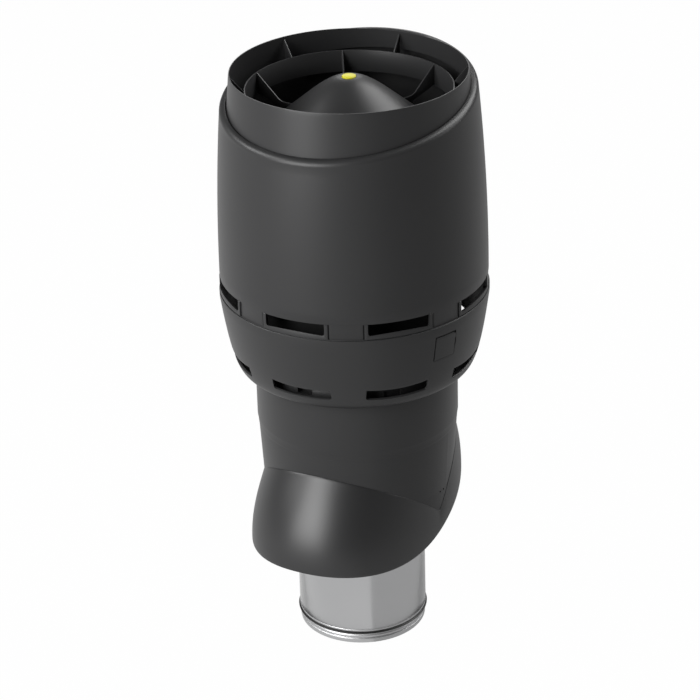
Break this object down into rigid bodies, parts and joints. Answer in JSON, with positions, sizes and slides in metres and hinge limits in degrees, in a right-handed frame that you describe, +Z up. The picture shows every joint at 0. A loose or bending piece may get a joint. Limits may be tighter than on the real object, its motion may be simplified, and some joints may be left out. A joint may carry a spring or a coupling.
{
  "type": "roof exhaust fan",
  "caption": "Round roof exhaust fan on an insulated pipe with a rain skirt, steel duct spigot, slotted bowl, hood and upward annular outlet round a cone.",
  "frame": {"origin": "centre of the steel duct's lower end", "axes": "+Z up along the duct's axis towards the outlet; -Y towards the low side of the roof slope; +X to the right for a viewer at -Y"},
  "size_m": [0.4066, 0.4113, 0.9213],
  "materials": {
    "charcoal_plastic": "satin fine-grained moulded plastic",
    "galvanised_steel": "zinc-coated sheet",
    "seal_rubber": "matt",
    "foam": "fine-celled foam",
    "yellow_plastic": "semi-gloss",
    "zinc_steel": "zinc-plated",
    "cast_aluminium": "die-cast",
    "bearing_steel": "ground",
    "grey_plastic": "moulded",
    "wheel_aluminium": "pressed sheet"
  },
  "bodies": {
    "housing": {"outer_pipe": "charcoal_plastic", "rain_skirt": "charcoal_plastic", "neck_sleeve": "charcoal_plastic", "lower_bowl": "charcoal_plastic", "latch_bracket": "charcoal_plastic", "hood_shell": "charcoal_plastic", "outlet_collar": "charcoal_plastic", "outer_ribs": "charcoal_plastic", "diffuser_ring": "charcoal_plastic", "inner_ribs": "charcoal_plastic", "centre_cone": "charcoal_plastic", "fan_housing": "charcoal_plastic", "guide_vanes": "charcoal_plastic", "motor_pod": "charcoal_plastic", "steel_duct": "galvanised_steel", "duct_lip_seal": "seal_rubber", "duct_gasket": "seal_rubber", "insulation": "foam", "cone_plug": "yellow_plastic", "cone_screw": "zinc_steel", "cone_post": "zinc_steel", "housing_screws": "zinc_steel", "inlet_nozzle": "galvanised_steel", "rubber_mounts": "seal_rubber", "motor_screws": "zinc_steel", "motor_stator": "cast_aluminium", "motor_bearings": "bearing_steel", "motor_lead": "seal_rubber", "lead_grommet": "seal_rubber", "terminal_box": "grey_plastic", "terminal_lid": "grey_plastic", "lid_screws": "zinc_steel", "cable_gland": "seal_rubber"},
    "fan_wheel": {"motor_rotor": "cast_aluminium", "motor_shaft": "bearing_steel", "impeller_back_plate": "wheel_aluminium", "impeller_blades": "wheel_aluminium", "impeller_shroud": "wheel_aluminium", "impeller_screws": "zinc_steel"},
    "latch": {"latch_button": "charcoal_plastic"}
  },
  "joints": [
    {"name": "fan_wheel_spin", "type": "hinge", "parent": "housing", "child": "fan_wheel", "pos_m": [0, 0, 0.57], "axis": [0, 0, 1], "continuous": true},
    {"name": "latch_press", "type": "slide", "parent": "housing", "child": "latch", "axis": [-0.9239, 0.3827, 0], "range_m": [0, 0.004], "stiffness_N_per_m": 800}
  ]
}
